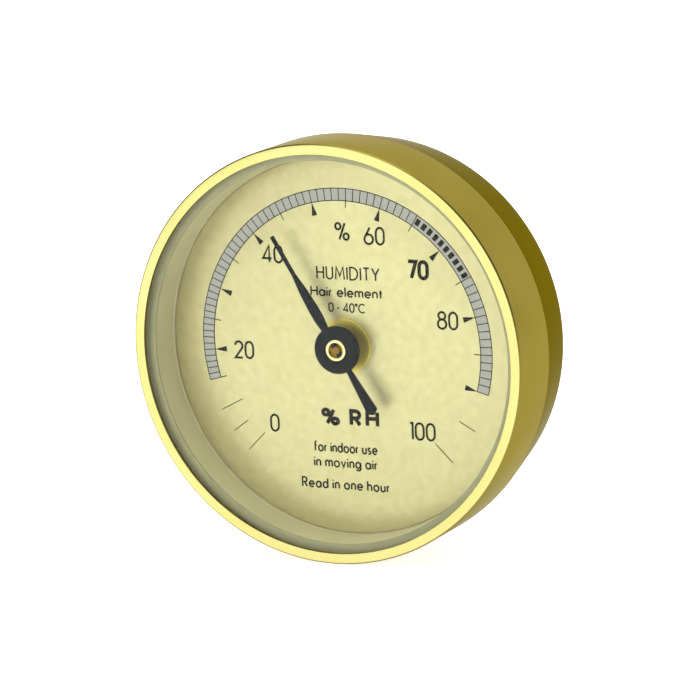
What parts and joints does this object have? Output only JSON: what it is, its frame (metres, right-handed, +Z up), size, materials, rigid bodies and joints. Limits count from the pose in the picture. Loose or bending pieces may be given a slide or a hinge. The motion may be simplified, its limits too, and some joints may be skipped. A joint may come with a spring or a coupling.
{
  "type": "dial hygrometer",
  "caption": "Round dial hygrometer: brass-coloured drum case, glass, percent scale, black pointer, and a hair movement with pinion and toothed sector inside.",
  "frame": {"origin": "centre of the flat back face", "axes": "+Y out of the back, the dial faces -Y; +Z up, towards the middle of the scale; +X to the right as the dial is read"},
  "size_m": [0.075, 0.025, 0.075],
  "materials": {
    "satin_brass": "satin turned, clear lacquered",
    "rear_brass": "satin spun, clear lacquered",
    "crystal_glass": "flat clear float glass",
    "seal_grey": "soft grey-green seal, matt",
    "spacer_paint": "satin champagne",
    "dial_paint": "matt pale champagne with dark print",
    "dial_brass": "turned and dished, bright",
    "pointer_black": "satin blue-black",
    "movement_brass": "brushed",
    "steel": "turned, fine",
    "spring_bronze": "rolled strip",
    "clip_aluminium": "pressed",
    "hair": "fine straight fibres"
  },
  "bodies": {
    "case": {"bezel": "satin_brass", "rear_case": "rear_brass", "crystal": "crystal_glass", "gasket": "seal_grey", "spacer_ring": "spacer_paint", "dial": "dial_paint", "dial_boss": "dial_brass", "dial_feet": "movement_brass", "dial_nuts": "movement_brass", "hairspring": "spring_bronze", "hairspring_stud": "movement_brass", "front_plate": "movement_brass", "rear_plate": "movement_brass", "pillars": "movement_brass", "bridge_screws": "steel", "bushes": "movement_brass", "stop_pins": "steel", "hair_bundle": "hair", "spring_washer": "steel"},
    "pointer_train": {"pointer": "pointer_black", "pointer_collet": "dial_brass", "arbor": "steel", "pinion": "movement_brass", "hairspring_collet": "movement_brass"},
    "sector_lever": {"sector": "movement_brass", "sector_collet": "movement_brass", "sector_arbor": "steel", "hair_arm": "movement_brass"},
    "hair_pull": {"hair_clip": "clip_aluminium"},
    "calibrator": {"calibration_spindle": "movement_brass"},
    "anchor": {"anchor_clip": "clip_aluminium"}
  },
  "joints": [
    {"name": "sector_turn", "type": "hinge", "parent": "case", "child": "sector_lever", "pos_m": [-0.0081, -0.0141, -0.01403], "axis": [0, 1, 0], "range_deg": [-20.71, 12.99], "stiffness_Nm_per_rad": 0.02},
    {"name": "pointer_turn", "type": "hinge", "parent": "case", "child": "pointer_train", "pos_m": [0, -0.0141, 0], "axis": [0, 1, 0], "range_deg": [-103.9, 165.7]},
    {"name": "hair_slide", "type": "slide", "parent": "case", "child": "hair_pull", "axis": [0, 0, 1], "range_m": [-0.00078, 0.00049], "deforming": ["hair_bundle"]},
    {"name": "calibration_turn", "type": "hinge", "parent": "case", "child": "calibrator", "pos_m": [-0.0088, -0.0062, 0.02812], "axis": [0, 1, 0], "range_deg": [-25, 25]},
    {"name": "anchor_slide", "type": "slide", "parent": "case", "child": "anchor", "axis": [0, 0, 1], "range_m": [-0.00063, 0.00063], "deforming": ["hair_bundle"]}
  ],
  "couplings": [
    {"joint": "pointer_turn", "follows": "sector_turn", "ratio": -8},
    {"joint": "hair_slide", "follows": "sector_turn", "m_per_rad": 0.0021684},
    {"joint": "anchor_slide", "follows": "calibration_turn", "m_per_rad": 0.0014529}
  ]
}
